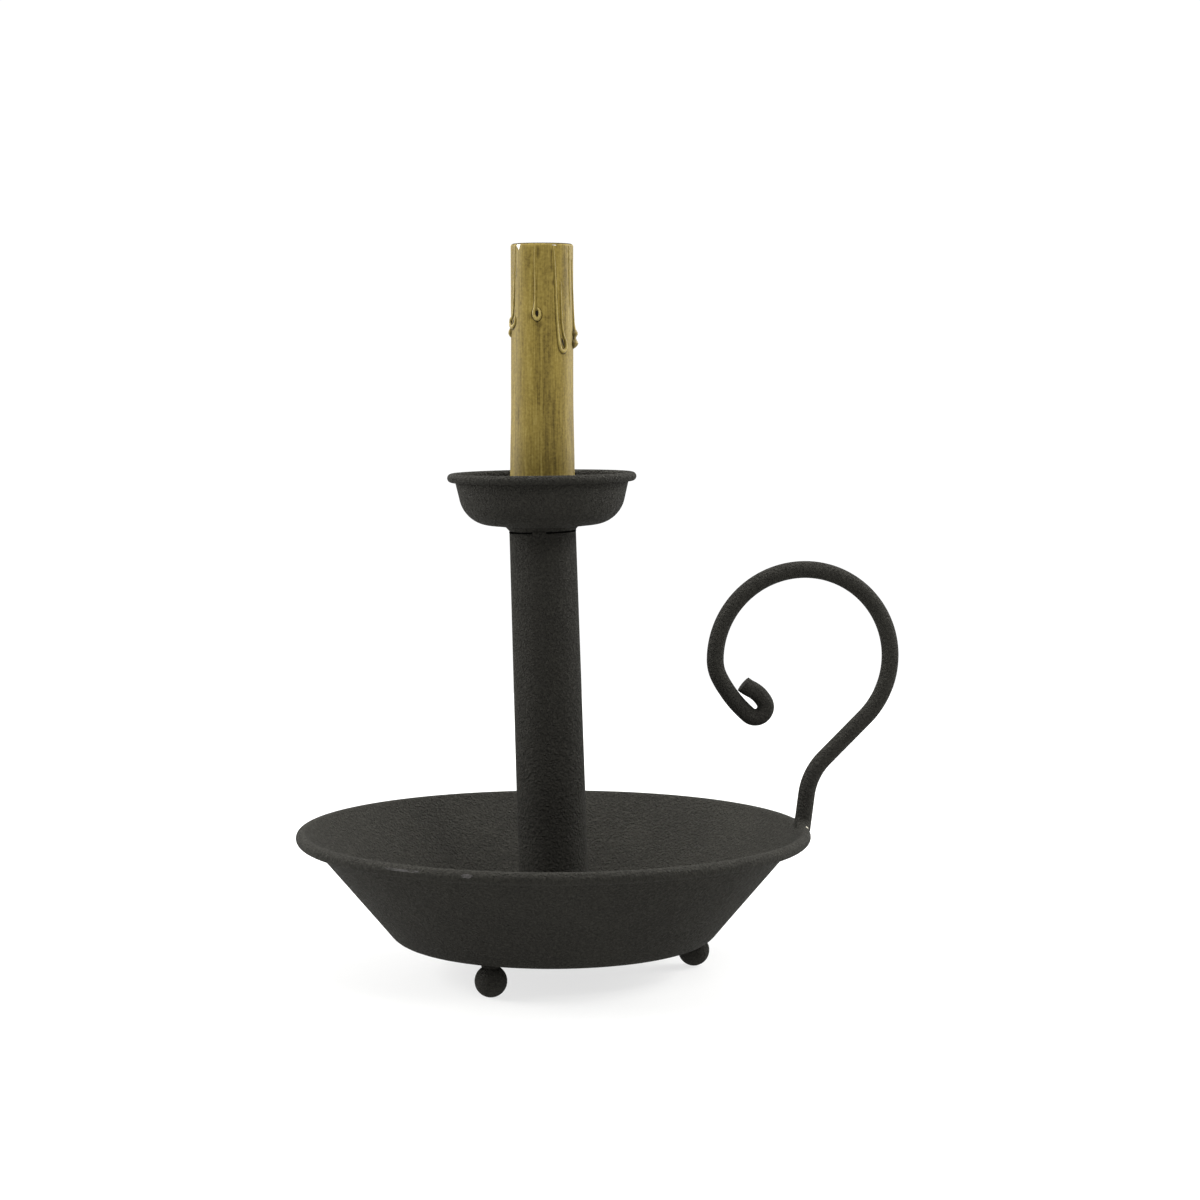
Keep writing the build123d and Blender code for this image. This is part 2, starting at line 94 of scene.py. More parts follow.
# Weld at the finger loop's foot
rod_radius = 3.175
loop_set_out = 0.35              # the loop's foot stands outside the middle of the roll
loop_rise = 82.8                 # slope of the loop's foot
weld_climb = 5.0                 # up the rod from the middle of the roll
weld_spread = 4.6                # along the rim from the rod
weld_crook = 0.6                 # height of its hollow over the roll
weld_toe = 0.3                   # height over the roll from which its toe comes down to the rim
weld_sunk = 0.1                  # its edges run into the rod and the rim by this much
weld_ragged = 0.5                # unevenness of its upper edge
weld_ragged_waves = 1.7          # waves of that across the rod's radius
weld_ripple = 0.16
weld_ripple_waves = 3.1          # ripples across the rod's radius
weld_ripple_run = 2.0            # ripples from its top to its toe
# Pale spot on it: bearing round the rod, share of the way down, half its spread in each
pale_spot = (-80.0, 0.96, 10.0, 0.13)
pale_spot_ragged = 0.3           # unevenness of its edge, as a share
pale_spot_waves = 2.0            # waves of that across half of it
pale_spot_proud = (0.08, 0.02)   # in its middle and at its edge

# Tube, with the weld round its foot and the open seam over its top
stem_foot_radius = 13.1
stem_top_radius = 12.3
stem_set_over = 0.6              # its foot stands this far to the right of the pan's middle
stem_lean = 1.72                 # to the left
stem_high = corners("stem_tube")[1]
stem_weld = 2.4                  # leg of the fillet
stem_weld_out = 0.1              # how far it stands out from the fillet in the solid
stem_weld_crown = 0.25           # height of the bead over a flat fillet
stem_weld_slope = 0.7            # share of the crown that goes out, and that goes up
stem_ripples = 46                # round the tube
stem_ripple = 0.14
stem_ripple_curl = 2.2           # radians that a ripple bends back from the middle of the bead to its edge
seam_bead = 0.32                 # radius of the line in the seam
seam_proud = 0.12

# Welds on top of the ball feet, and the unevenness of all ring beads
foot_weld_radius = 2.7
foot_weld_bead = 0.75            # radius of the bead
bead_uneven = 0.15               # as a share
bead_waves = 2.5                 # waves of that across a ring's radius

# Threads and terminal screws of the socket
shell_high = corners("screw_shell")[1]
shell_bore_radius = 5.95
shell_thread = (2.54, 0.27)      # pitch, and radius of the rolled ridge
shell_thread_length = 14.0
nipple_low, nipple_high = corners("lamp_nipple")
nipple_radius = 4.9
nipple_thread = (0.94, 0.22)
nipple_thread_length = 2.6
thread_inset = 0.2               # from the shell's edge and the nipple's end
cup_lean = 0.66                  # of the nipple, which stands square to the cup
screws_low, screws_high = corners("terminal_screws")
screw_head_radius = 2.2
screw_head_thickness = 1.1
screw_head_round = 0.25          # rounding of its edge
screw_slot = (0.7, 0.65)         # width and depth

# Candle sleeve
sleeve_low, sleeve_high = corners("candle_sleeve")
body_low, body_high = corners("socket_body")
candle_x = (body_low.x + body_high.x) / 2
candle_top = sleeve_high.z
candle_length = candle_top - sleeve_low.z
candle_radius = 11.45            # upper part
candle_flare = 0.42              # more than that at the foot
candle_flare_shares = (0.20, 0.46)   # of its length: full width up to the first, slim from the second
candle_wall = 1.15
candle_lip = 1.0                 # rounding of the rim
candle_sway = 0.07               # unevenness of the dipped side
candle_sway_run = 22.0           # length of one wave of it
candle_sway_waves = 1.3          # waves of it across the radius
candle_facing = 265.4            # bearing of its front, which looks out to the camera

# Chip in the rim that bares the white core: bearings of its two top corners and of its point, and its depth
chip_corners = (-57.5, -42.5)
chip_point = -48.6
chip_depth = 2.9
chip_sunk = 0.18                 # thickness of the wax that is gone
chip_ragged = 1.5                # unevenness of its sides, in degrees
chip_ragged_waves = 2.3          # waves of that in a millimetre
chip_ragged_start = 4.0          # where in the noise it is taken from
small_chip = (22.8, 0.85, 0.85, 0.24)         # bearing, distance below the rim, half its width and height

# Drips on the front. Each is one line of wax down the sleeve: bearing, distance below the rim and radius of
# the line there.
front_drips = [
    [(-58, 0.9, 0.20), (-60, 12, 0.28), (-63, 21, 0.36), (-68, 26, 0.50), (-79, 27.8, 0.78),
     (-77, 29.6, 0.92), (-69, 30.3, 0.86), (-60, 29.2, 0.60), (-58, 27.6, 0.44), (-60, 26.0, 0.2)],
    [(-81, 30.3, 0.35), (-84, 32.0, 0.98), (-85, 33.1, 0.88), (-85, 34.0, 0.25)],
    [(-13.0, 0.9, 0.18), (-13.8, 6, 0.24), (-12.8, 14, 0.28), (-12.8, 20, 0.36), (-13.4, 23.0, 0.48),
     (-15.2, 25.0, 0.58), (-14.6, 26.4, 0.66), (-9.4, 27.6, 0.72), (-4.6, 26.7, 0.66),
     (-4.0, 25.3, 0.54), (-6.2, 24.2, 0.42), (-9.6, 23.7, 0.3)],
    [(20.5, 0.9, 0.22), (23.2, 6, 0.30), (25.2, 15.4, 0.38), (27.3, 24.5, 0.46), (29.8, 31.2, 0.52),
     (32.4, 36.0, 0.60), (36.5, 38.6, 0.72), (43.0, 39.2, 0.76), (49.0, 37.8, 0.62), (48.0, 35.5, 0.48),
     (42.6, 33.0, 0.44), (38.5, 28.8, 0.42), (36.9, 21.5, 0.36), (36.2, 14.0, 0.2)],
    [(58.0, 0.9, 0.18), (59.5, 8, 0.26), (60.5, 17, 0.26), (61.0, 23, 0.15)],
    [(70, 6.0, 0.2), (75, 16, 0.36), (80, 26, 0.52), (83, 30.4, 0.85), (84, 32.6, 1.72), (84, 34.1, 1.1),
     (83, 35.0, 1.35), (83, 36.3, 1.90), (82, 37.5, 1.2), (82, 38.2, 0.3)],
]
# Drips round the sides and back, all of one kind: bearing, distance of the drop below the rim, size
other_drips = [(118, 24.0, 0.95), (152, 37.0, 1.1), (200, 28.0, 0.9), (236, 39.5, 1.05)]
drip_spacing = 0.3               # of the points along a drip

# Where the stain has dried inside a front drip: bearing, distance below the rim, half its width and height,
# and the lean of its top to the left
front_pools = [(-9.5, 25.5, 0.66, 1.2, 0), (41.0, 36.0, 0.5, 2.0, 20), (-66, 28.6, 0.6, 0.95, 0)]
# In one of the other drips, in its size: distance above the drop, half its width and height
other_pool = (2.0, 0.6, 1.2)
pool_proud = 0.07
pool_edge_sunk = 0.02

# Tone of the stain: 0 is the sleeve's own, below 0 is darker and above 0 is rubbed lighter. On the drips
# and in the creases beside them the same tone also carries painted highlight and painted shade.
# Streaks: bearing, from and to below the rim, half their width, tone
stain_streaks = [
    (-6.6, 0.5, 6, 1.3, -1.1), (-23.7, 2, 10, 1.0, -0.9), (17.9, 1.5, 11, 0.9, -1.1),
    (20.2, 12.5, 16.0, 0.9, -1.5), (-12.2, 12, 18, 0.9, -1.1), (-53.6, 8.5, 13, 0.8, -0.8),
    (25.0, 1, 19, 2.2, 0.6), (-31, 3, 20, 1.6, -0.4), (8, 2, 24, 2.2, -0.3),
    (-17.5, 1, 22, 1.4, -0.5), (47, 2, 26, 1.8, -0.3),
    (-1.0, 30, 100, 0.7, 0.9), (23.5, 56, 86, 1.8, -0.5), (11.0, 25.8, 28.4, 2.6, -0.9),
    # The streak at -8.0, from 27.8 to 31.0 below the rim, is painted shadow under the drop of the third
    # front drip.
    (-23, 24.0, 28.5, 2.4, -0.8), (-8.0, 27.8, 31.0, 3.0, -0.9),
    (10, 30, 100, 5.0, -0.3), (-8, 30, 60, 3.5, -0.3), (-30, 40, 100, 3.0, 0.3),
]
streak_fade = 1.5                # length over which a streak begins and ends
streak_wander = 0.5              # to either side
streak_wander_run = 7.0          # length of one wave of it
rim_stain = 0.38                 # depth of the dark line round the rim
rim_stain_fade = 0.2
rim_stain_tone = -4.0
rim_light_band = (0.8, 0.4, 0.2)        # lighter band under it: distance below the rim, half its height, tone
crease_width = 0.5               # of the dark crease along a drip
crease_run = 3.0                 # length over which it comes and goes
crease_stain_and_shade = 2.4                # how much darker it is beside a drop
crease_uneven = 1.0              # and by how much that varies
crease_radii = (0.2, 0.4)        # of the drip: none of that at the first, all of it at this much more
# Tone of a drip: painted highlight on its top and painted shade at its sides, more so where it is thicker,
# and more painted shade on the heavy drops
drip_tone = 0.1
thin_run_light_and_shade = 0.7                 # light on top and dark at the sides of a thin run
thick_drip_light_and_shade = (0.3, 0.3, 1.5, 1.1)            # from this radius, over this much: more crest, darker by
heavy_drip_painted_shade = (0.7, 0.5, 0.9)     # from this radius, over this much: darker by


def srgb(code):
    """Linear colour of an sRGB hex value."""
    parts = [int(code[i:i + 2], 16) / 255 for i in (1, 3, 5)]
    return (*[p / 12.92 if p <= 0.04045 else ((p + 0.055) / 1.055) ** 2.4 for p in parts], 1.0)


def add(tree, kind, inputs=None, stops=(), **settings):
    """Adds a shader node with its settings and colour stops, and links or sets its inputs."""
    made = tree.nodes.new("ShaderNode" + kind)
    for name, value in settings.items():
        setattr(made, name, value)
    for number, (place, code) in enumerate(stops):
        elements = made.color_ramp.elements
        element = elements[number] if number < len(elements) else elements.new(place)
        element.position, element.color = place, srgb(code)
    for name, value in (inputs or {}).items():
        if isinstance(value, bpy.types.NodeSocket):
            tree.links.new(value, made.inputs[name])
        else:
            made.inputs[name].default_value = value
    return made


def per_metre(size):
    """Texture scale that repeats about once in a size in millimetres."""
    return 1 / (size * MM)


def new_material(name):
    """Material with an empty tree and an output. Returns the material, the tree and the output."""
    made = bpy.data.materials.new(name)
    made.use_nodes = True
    made.node_tree.nodes.clear()
    return made, made.node_tree, add(made.node_tree, "OutputMaterial")


def sand_powder_coat(name, dark, light):
    """Polyester powder with a sand texture, sprayed and baked on steel: black, dead matt and pebbled.

    Light breaks up on its grains, and nearly all of the skin's gloss is lost between them. Real grit is
    about 0.3 mm, too fine to show, so it is drawn about three times as coarse and deeper than it is.
    """
    grit, relief = 0.92, 2.2
    cloud, cloud_weight = 22.0, 0.4          # broad unevenness of the film, and its weight in the colour
    dark_at, light_at = 0.58, 0.84           # sums of both noises
    hollow, crown = 0.35, 0.65               # noise in the hollows and on top of the grains
    roughness, swing = 0.8, 0.12
    made, tree, out = new_material(name)
    place = add(tree, "TexCoord").outputs["Object"]
    pebble = add(tree, "TexNoise", {
        "Vector": place, "Scale": per_metre(grit), "Detail": 2.0, "Roughness": 0.6, "Distortion": 0.5})
    film = add(tree, "TexNoise", {"Vector": place, "Scale": per_metre(cloud), "Detail": 2.0})
    shade = add(tree, "Math", {0: film.outputs["Fac"], 1: cloud_weight, 2: pebble.outputs["Fac"]},
                operation="MULTIPLY_ADD")
    colour = add(tree, "ValToRGB", {"Fac": shade.outputs[0]}, [(dark_at, dark), (light_at, light)])
    rough = add(tree, "MapRange", {
        "Value": pebble.outputs["Fac"], "From Min": hollow, "From Max": crown,
        "To Min": roughness + swing, "To Max": roughness - swing})
    bump = add(tree, "Bump", {
        "Height": pebble.outputs["Fac"], "Strength": 1.0, "Distance": relief * MM})
    shader = add(tree, "BsdfPrincipled", {
        "Base Color": colour.outputs[0], "Roughness": rough.outputs["Result"],
        "Normal": bump.outputs["Normal"], "IOR": 1.5, "Specular IOR Level": 0.04})
    tree.links.new(shader.outputs[0], out.inputs["Surface"])
    return made


def stained_wax(name, roughness, shine):
    """Moulded wax, stained honey brown and wiped: satin, with streaks where the stain ran down it.

    The stain attribute of the mesh darkens or lightens it, and on and beside the drips it also carries
    painted highlight and painted shade; the darkest stain has no shine.
    """
    fine_width, fine_length = 0.6, 14.0      # of a thin streak
    broad_width, broad_length = 5.0, 70.0    # of the wash behind the streaks
    fleck_size, streak_relief = 0.9, 0.12
    streak_weight = 1.5                      # in the colour, beside one for the flecks and one for the wash
    stain_weight = 0.13
    dull_tone, shiny_tone = -3.0, -1.0
    made, tree, out = new_material(name)
    place = add(tree, "TexCoord").outputs["Object"]
    along = add(tree, "Mapping", {
        "Vector": place,
        "Scale": (per_metre(fine_width), per_metre(fine_width), per_metre(fine_length))})
    streak = add(tree, "TexNoise", {
        "Vector": along.outputs[0], "Scale": 1.0, "Detail": 3.0, "Roughness": 0.6})
    over = add(tree, "Mapping", {
        "Vector": place,
        "Scale": (per_metre(broad_width), per_metre(broad_width), per_metre(broad_length))})
    wash = add(tree, "TexNoise", {"Vector": over.outputs[0], "Scale": 1.0, "Detail": 2.0})
    fleck = add(tree, "TexNoise", {"Vector": place, "Scale": per_metre(fleck_size), "Detail": 2.0})
    grain = add(tree, "Math", {0: streak.outputs["Fac"], 1: streak_weight, 2: fleck.outputs["Fac"]},
                operation="MULTIPLY_ADD")
    mixed = add(tree, "Math", {0: grain.outputs[0], 1: wash.outputs["Fac"]}, operation="ADD")
    evened = add(tree, "Math", {0: mixed.outputs[0], 1: 1 / (streak_weight + 2)}, operation="MULTIPLY")
    drawn = add(tree, "Attribute", attribute_name="stain")
    stained = add(tree, "Math", {0: drawn.outputs["Fac"], 1: stain_weight, 2: evened.outputs[0]},
                  operation="MULTIPLY_ADD")
    colour = add(tree, "ValToRGB", {"Fac": stained.outputs[0]}, [
        (0.18, "#1c1606"), (0.40, "#5c4e23"), (0.54, "#796932"), (0.71, "#8e7f48"), (1.0, "#d0cab2")])
    bump = add(tree, "Bump", {
        "Height": streak.outputs["Fac"], "Strength": 0.5, "Distance": streak_relief * MM})
    dulled = add(tree, "MapRange", {
        "Value": drawn.outputs["Fac"], "From Min": dull_tone, "From Max": shiny_tone,
        "To Min": 0.0, "To Max": shine})
    shader = add(tree, "BsdfPrincipled", {
        "Base Color": colour.outputs[0], "Roughness": roughness, "Normal": bump.outputs["Normal"],
        "IOR": 1.44, "Specular IOR Level": dulled.outputs["Result"]})
    tree.links.new(shader.outputs[0], out.inputs["Surface"])
    return made


def mottled_finish(name, dark, light, mottle, metallic, roughness, shine=0.5):
    """Finish of a small piece: two tones and a gleam that vary in blotches of a size."""
    dark_at, light_at = 0.35, 0.65
    swing = 0.1
    made, tree, out = new_material(name)
    place = add(tree, "TexCoord").outputs["Object"]
    blotch = add(tree, "TexNoise", {"Vector": place, "Scale": per_metre(mottle), "Detail": 4.0})
    colour = add(tree, "ValToRGB", {"Fac": blotch.outputs["Fac"]}, [(dark_at, dark), (light_at, light)])
    rough = add(tree, "MapRange", {
        "Value": blotch.outputs["Fac"], "To Min": roughness + swing, "To Max": roughness - swing})
    shader = add(tree, "BsdfPrincipled", {
        "Base Color": colour.outputs[0], "Roughness": rough.outputs["Result"], "Metallic": metallic,
        "Specular IOR Level": shine})
    tree.links.new(shader.outputs[0], out.inputs["Surface"])
    return made


coat = sand_powder_coat("black_sand_powder_coat", "#2a2926", "#302f2b")
wax = stained_wax("stained_wax_sleeve", 0.5, 0.12)
# The drips are rubbed smoother than the sleeve, so they catch more light.
drip_wax = stained_wax("glossy_wax_drip", 0.4, 0.2)

# Small finishes: name, dark and light tone, size of the blotches, metallic, roughness and share of shine.
# Oil stain, dried thick in a hollow: nearly black, and dull
pooled_stain = mottled_finish("dried_brown_stain", "#0e0a05", "#1e160b", 0.8, 0.0, 0.75, 0.15)
# Pale spot on the weld: a dull grey tan with no metal shine
pale_spot_finish = mottled_finish("pale_grey_tan_spot", "#8c8775", "#b5af9c", 0.8, 0.0, 0.4)
# Polystyrene core of the sleeve, broken: chalky white
white_core = mottled_finish("broken_white_polystyrene", "#d8d4c8", "#ece9e0", 3.0, 0.0, 0.5)
# The same core in the bore, as moulded, with painted shade: dull grey white
bore_painted_shade = mottled_finish("shaded_white_polystyrene", "#77736a", "#8a867c", 3.0, 0.0, 0.6, 0.3)
# Steel with bright zinc plate: a cool grey metal with a cloudy gleam
zinc = mottled_finish("zinc_plated_steel", "#8d8f90", "#b4b6b7", 2.0, 1.0, 0.35)
# Stamped brass under lacquer: a warm yellow metal with a soft gleam
brass = mottled_finish("lacquered_brass", "#a8803c", "#c9a45c", 2.5, 1.0, 0.3)
# Moulded phenolic: brown black, with a low satin gleam
phenolic = mottled_finish("black_phenolic", "#141210", "#211d19", 1.5, 0.0, 0.45, 0.25)
# The powder coat where it is rubbed: its grains are flattened and a little greyer
rubbed_coat = mottled_finish("rubbed_powder_coat", "#2f2e2d", "#454342", 0.9, 0.0, 0.7, 0.1)
# Painted shade in the open seam between the tube and the plug: the blackest place, with no gleam
seam_painted_shade = mottled_finish("seam_shade_black", "#040404", "#080807", 1.0, 0.0, 0.9, 0.0)
# Moulded rubber: black and dull
rubber = mottled_finish("matt_rubber", "#101010", "#1a1a1a", 1.0, 0.0, 0.8, 0.2)

finishes = {
    "black_powder_coat": coat, "aged_wax": wax, "plated_steel": zinc, "brass": brass,
    "phenolic": phenolic, "rubber": rubber,
}


def paint_nodes():
    """Every CAD node takes the finish of its slot in the record."""
    for part in frame["record"]["subparts"]:
        mesh = frame["nodes"][part["node"]].data
        mesh.materials.clear()
        mesh.materials.append(finishes[part["material_slot"]])


def piece(name, points, faces, body, slot, *materials):
    """Mesh object from points in millimetres that rides on a body."""
    mesh = bpy.data.meshes.new(name)
    mesh.from_pydata([Vector(p) * MM for p in points], [], faces)
    mesh.validate()
    mesh.polygons.foreach_set("use_smooth", [True] * len(mesh.polygons))
    for material in materials:
        mesh.materials.append(material)
    made = bpy.data.objects.new(name, mesh)
    bpy.context.scene.collection.objects.link(made)
    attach(made, body)
    return made


def smooth_step(value):
    """Soft rise from 0 to 1."""
    value = min(max(value, 0), 1)
    return value * value * (3 - 2 * value)


def around(count):
    """Angles of a number of steps round a full turn, in radians."""
    return [2 * math.pi * step / count for step in range(count)]


def grid_faces(rows, columns, closed=False):
    """Quads between rings of points, and from the last ring to the first where they are closed."""
    faces = []
    for row in range(rows if closed else rows - 1):
        low, high = row * columns, (row + 1) % rows * columns
        for column in range(columns):
            after = (column + 1) % columns
            faces.append((low + column, low + after, high + after, high + column))
    return faces


def fan_faces(edge):
    """Triangles from a first point to the ring of points that follows it."""
    return [(0, 1 + side, 1 + (side + 1) % edge) for side in range(edge)]


def tube_faces(rings, sides):
    """Faces of a tube that is closed at both ends."""
    faces = grid_faces(rings, sides)
    faces.append(tuple(reversed(range(sides))))
    faces.append(tuple((rings - 1) * sides + side for side in range(sides)))
    return faces


def tube_points(line, radii, sides, outward):
    """Rings of a round tube along a line. Outward gives the way that each ring's first point looks."""
    points = []
    for index, (spot, radius) in enumerate(zip(line, radii)):
        ahead = (line[min(index + 1, len(line) - 1)] - line[max(index - 1, 0)]).normalized()
        out = outward(spot)
        out = (out - ahead * out.dot(ahead)).normalized()
        across = ahead.cross(out)
        for turn in around(sides):
            points.append(spot + (out * math.cos(turn) + across * math.sin(turn)) * radius)
    return points


def candle_profile(height):
    """Outside radius of the sleeve at a height above its foot."""
    wide, slim = candle_flare_shares
    return candle_radius + candle_flare * smooth_step((slim - height / candle_length) / (slim - wide))


def candle_spot(bearing, below, proud=0.0):
    """Point on the sleeve's slightly uneven side, or out from it, at a distance below the rim."""
    angle = math.radians(candle_facing + bearing)
    way = Vector((math.cos(angle), math.sin(angle), 0))
    sway = noise.noise(way * candle_sway_waves + Vector((0, 0, below / candle_sway_run)))
    radius = candle_profile(candle_length - below) + candle_sway * sway + proud
    return Vector((candle_x, 0, candle_top - below)) + way * radius


def apart(bearing, other):
    """Distance round the sleeve between two bearings."""
    return math.radians((bearing - other + 180) % 360 - 180) * candle_radius


def stain_tone(bearing, below):
    """How much lighter or darker the stain is at a place on the sleeve."""
    middle, half_height, strength = rim_light_band
    tone = rim_stain_tone * smooth_step((rim_stain - below) / rim_stain_fade)
    tone += strength * smooth_step(1 - abs(below - middle) / half_height)
    for middle, start, finish, half_width, strength in stain_streaks:
        wander = streak_wander * noise.noise(Vector((middle, below / streak_wander_run, 0)))
        near = 1 - abs(apart(bearing, middle) + wander) / half_width
        ends = smooth_step((below - start) / streak_fade) * smooth_step((finish - below) / streak_fade)
        tone += strength * smooth_step(near) * ends
    return tone


def on_chip(bearing, below):
    """True where the rim is chipped down to its core."""
    left, right = chip_corners
    sink = below / chip_depth
    if rim_stain < below < chip_depth:
        ragged = chip_ragged * noise.noise(Vector((below * chip_ragged_waves, chip_ragged_start, 0)))
        if left + (chip_point - left) * sink < bearing + ragged < right + (chip_point - right) * sink:
            return True
    middle, depth, half_width, half_height = small_chip
    return math.hypot(apart(bearing, middle) / half_width, (below - depth) / half_height) < 1


def stain_and_shade_beside_drip(spot, edges, reaches):
    """Stain that stays in the crease beside a drip, with painted shade where the drip meets the sleeve:
    deep at the drops, broken along the thin runs.
    """
    place, index, distance = edges.find(spot)
    thin, thicker = crease_radii
    depth = crease_stain_and_shade * smooth_step((reaches[index] - thin) / thicker)
    depth += crease_uneven * noise.noise(place / crease_run)
    return -max(depth, 0) * smooth_step(1 - (distance - reaches[index]) / crease_width)


def give_stain_and_painted_light(made, tones):
    """Tone of the stain at each point, with the painted highlight and shade of the drips and their creases,
    which the wax's material reads.
    """
    made.data.attributes.new("stain", "FLOAT", "POINT").data.foreach_set("value", tones)


def candle_sleeve(lines):
    """Sleeve with a rounded rim, a slightly uneven dipped side, a chip and a plain bore."""
    columns, side_step, lip_steps = 480, 0.5, 7
    waxed, chip, inside = 0, 1, 2            # order of its materials
    bearings = [360 * column / columns - 180 for column in range(columns)]
    places = [place for line in lines for place in line]
    reaches = [radius for _, _, radius in places]
    edges = kdtree.KDTree(len(places))
    for index, (bearing, below, _) in enumerate(places):
        edges.insert(candle_spot(bearing, below), index)
    edges.balance()
    side = [candle_lip + side_step * i for i in range(int((candle_length - candle_lip) / side_step))]
    rings = [(candle_length, 0.0)] + [(below, 0.0) for below in reversed(side)]
    for step in range(1, lip_steps + 1):
        turn = math.pi / 2 * step / lip_steps
        rings.append((candle_lip * (1 - math.sin(turn)), -candle_lip * (1 - math.cos(turn))))
    points, tones, kinds = [], [], []
    for below, proud in rings:
        for bearing in bearings:
            chipped = on_chip(bearing, below)
            points.append(candle_spot(bearing, below, proud - chip_sunk * chipped))
            tones.append(stain_tone(bearing, below) + stain_and_shade_beside_drip(points[-1], edges, reaches))
            kinds.append(chip if chipped else waxed)
    for below in (0.0, candle_length):
        proud = candle_radius - candle_wall - candle_profile(candle_length - below)
        for bearing in bearings:
            points.append(candle_spot(bearing, below, proud))
            tones.append(0.0)
            kinds.append(inside)
    faces = grid_faces(len(points) // columns, columns, closed=True)
    made = piece("candle_sleeve_waxed", points, faces, "candle", "aged_wax", wax, white_core, bore_painted_shade)
    give_stain_and_painted_light(made, tones)
    for face in made.data.polygons:
        found = [kinds[v] for v in face.vertices]
        face.material_index = next((kind for kind in (chip, inside) if found.count(kind) > 2), waxed)
    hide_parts("candle_sleeve")


def curve_through(points, spacing):
    """Smooth run of points through a few places on the sleeve, with the radius of the line at each."""
    ends = [points[0], *points, points[-1]]
    made = []
    for before, start, finish, after in zip(ends, ends[1:], ends[2:], ends[3:]):
        length = math.hypot(apart(start[0], finish[0]), finish[1] - start[1])
        steps = max(3, round(length / spacing))
        for step in range(steps):
            t = step / steps
            made.append(tuple(
                0.5 * (2 * b + (c - a) * t + (2 * a - 5 * b + 4 * c - d) * t * t
                       + (3 * b - a - 3 * c + d) * t ** 3)
                for a, b, c, d in zip(before, start, finish, after)))
    return made + [points[-1]]


def wax_line(name, run):
    """One drip: a raised line of wax, half sunk in the sleeve, with painted highlight along its top and
    painted shade at its sides.
    """
    sides = 16
    radii = [radius for _, _, radius in run]
    line = [candle_spot(bearing, below) for bearing, below, _ in run]
    points = tube_points(line, radii, sides, lambda spot: Vector((spot.x - candle_x, spot.y, 0)))
    made = piece(name, points, tube_faces(len(line), sides), "candle", "aged_wax", drip_wax)
    thick_from, thick_over, thick_highlight, thick_shade = thick_drip_light_and_shade
    heavy_from, heavy_over, heavy_shade = heavy_drip_painted_shade
    # Painted light: the top of the line, which looks out from the sleeve, is lighter and its sides darker;
    # thicker drops get a stronger highlight and more painted shade, and heavy drops more painted shade
    # still.
    tones = []
    for radius in radii:
        thick_share = smooth_step((radius - thick_from) / thick_over)
        heavy = smooth_step((radius - heavy_from) / heavy_over)
        painted_light = thin_run_light_and_shade + thick_highlight * thick_share
        for turn in around(sides):
            tones.append(painted_light * math.cos(turn) + drip_tone - thick_shade * thick_share - heavy_shade * heavy)
    give_stain_and_painted_light(made, tones)


def stain_pool(name, bearing, below, half_width, half_height, slant):
    """Dark stain that has dried in the hollow of a drip."""
    sides, rings = 20, 4
    lean = math.radians(slant)
    points = [candle_spot(bearing, below, pool_proud)]
    for ring in range(1, rings + 1):
        proud = pool_proud * (1 - (ring / rings) ** 2) - pool_edge_sunk
        for turn in around(sides):
            wide = half_width * math.cos(turn) * ring / rings
            tall = half_height * math.sin(turn) * ring / rings
            across = wide * math.cos(lean) - tall * math.sin(lean)
            up = wide * math.sin(lean) + tall * math.cos(lean)
            points.append(candle_spot(bearing + math.degrees(across / candle_radius), below - up, proud))
    faces = fan_faces(sides)
    faces += [(1 + a, 1 + d, 1 + c, 1 + b) for a, b, c, d in grid_faces(rings, sides)]
    piece(name, points, faces, "candle", "aged_wax", pooled_stain)


def hairpin(bearing, drop, size):
    """Drip of the common kind: a run from the rim, a drop, and a tail that turns back up round a hollow."""
    wide = math.degrees(1.1 * size / candle_radius)
    return [
        (bearing - wide * 0.6, 0.9, 0.28),
        (bearing - wide * 0.8, drop * 0.4, 0.36),
        (bearing - wide * 0.7, drop - 5 * size, 0.44),
        (bearing - wide, drop - 2.4 * size, 0.56 * size),
        (bearing - wide * 0.9, drop - 0.9 * size, 0.66 * size),
        (bearing, drop, 0.74 * size),
        (bearing + wide * 0.9, drop - 0.9 * size, 0.64 * size),
        (bearing + wide, drop - 2.3 * size, 0.5 * size),
        (bearing + wide * 0.5, drop - 3.6 * size, 0.4),
        (bearing, drop - 4.3 * size, 0.25),
    ]


def candle():
    """The sleeve with its drips, and the stain that has dried in their hollows."""
    strokes = front_drips + [hairpin(*drip) for drip in other_drips]
    lines = [curve_through(stroke, drip_spacing) for stroke in strokes]
    candle_sleeve(lines)
    for number, line in enumerate(lines, 1):
        wax_line(f"wax_drip_{number}", line)
    rise, half_width, half_height = other_pool
    pools = front_pools + [(bearing, drop - rise * size, half_width * size, half_height * size, 0)
                           for bearing, drop, size in other_drips]
    for number, pool in enumerate(pools, 1):
        stain_pool(f"stain_pool_{number}", *pool)


def on_rim(spot, proud):
    """Nearest point on the outside of the pan's rolled rim, or out from it."""
    middle = Vector((spot.x, spot.y, 0)).normalized() * rim_radius + Vector((0, 0, rim_level))
    return middle + (spot - middle).normalized() * (rim_roll / 2 + proud)


